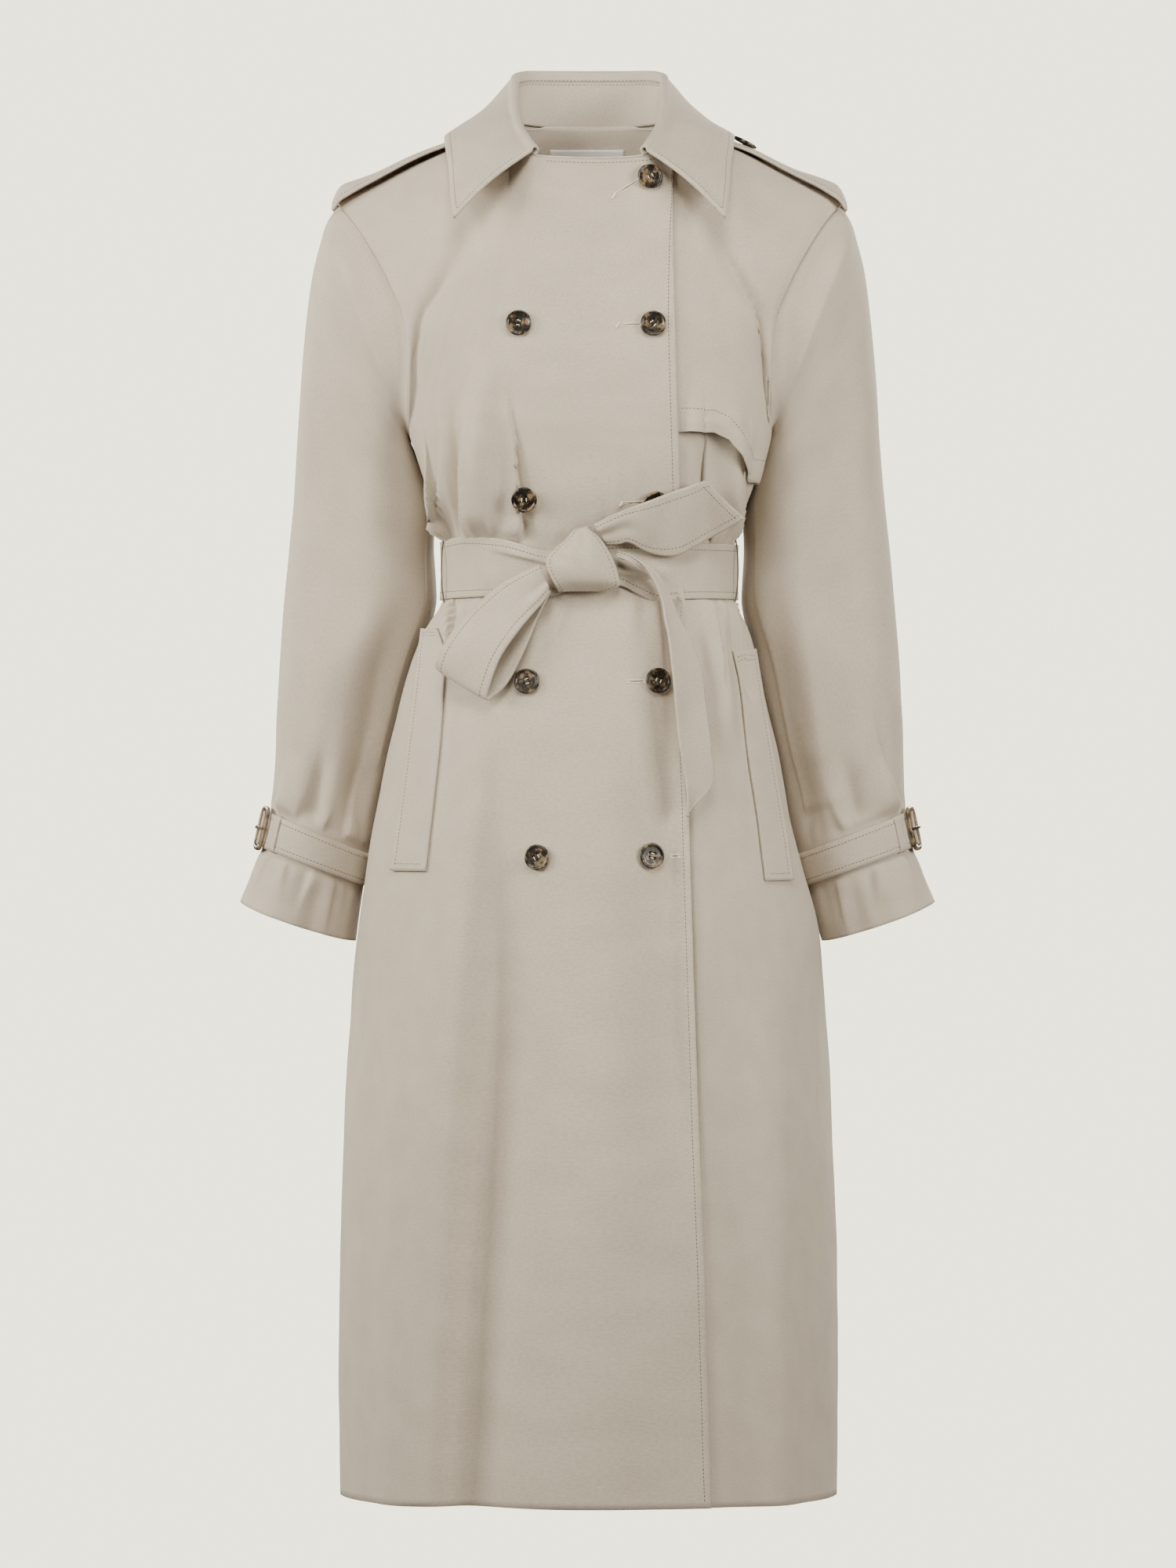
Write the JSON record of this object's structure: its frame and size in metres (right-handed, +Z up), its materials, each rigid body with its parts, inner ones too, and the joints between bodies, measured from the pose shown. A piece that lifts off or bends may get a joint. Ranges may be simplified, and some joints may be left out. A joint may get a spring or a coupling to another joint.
{
  "type": "trench coat",
  "caption": "Long double-breasted trench coat, hollow as if worn, with a turned-down collar, storm flap, epaulettes, tied belt, welt pockets and strapped cuffs.",
  "frame": {"origin": "the middle of the neck opening, level with where the shoulder seams meet the collar, where the wearer's neck and shoulders hold the coat", "axes": "+Z up, -Y out of the coat's front, +X towards the wearer's left"},
  "size_m": [0.6373, 0.3549, 1.3011],
  "materials": {
    "coat_cloth": "matte woven cotton twill",
    "sleeve_cloth": "matte woven cotton twill",
    "collar_cloth": "matte woven cotton twill",
    "belt_cloth": "matte woven cotton twill",
    "strap_cloth": "matte woven cotton twill",
    "label_cloth": "smooth woven satin",
    "horn": "mottled, polished"
  },
  "bodies": {
    "root": {"back": "coat_cloth", "belt_band": "belt_cloth", "belt_bow_loop": "belt_cloth", "belt_end_down": "belt_cloth", "belt_end_up": "belt_cloth", "belt_knot": "belt_cloth", "button_chest_left": "horn", "button_chest_right": "horn", "button_epaulette_left": "horn", "button_epaulette_right": "horn", "button_hip_left": "horn", "button_hip_right": "horn", "button_skirt_left": "horn", "button_skirt_right": "horn", "button_throat": "horn", "button_waist_left": "horn", "button_waist_right": "horn", "collar": "collar_cloth", "collar_stand": "collar_cloth", "cuff_buckle_left": "horn", "cuff_buckle_right": "horn", "cuff_keeper_left": "strap_cloth", "cuff_keeper_right": "strap_cloth", "cuff_prong_left": "horn", "cuff_prong_right": "horn", "cuff_strap_left": "strap_cloth", "cuff_strap_right": "strap_cloth", "epaulette_left": "strap_cloth", "epaulette_right": "strap_cloth", "front_left": "coat_cloth", "front_right": "coat_cloth", "label": "label_cloth", "neck_facing": "collar_cloth", "pocket_welt_left": "coat_cloth", "pocket_welt_right": "coat_cloth", "sleeve_left": "sleeve_cloth", "sleeve_right": "sleeve_cloth", "storm_flap": "coat_cloth"}
  },
  "joints": []
}
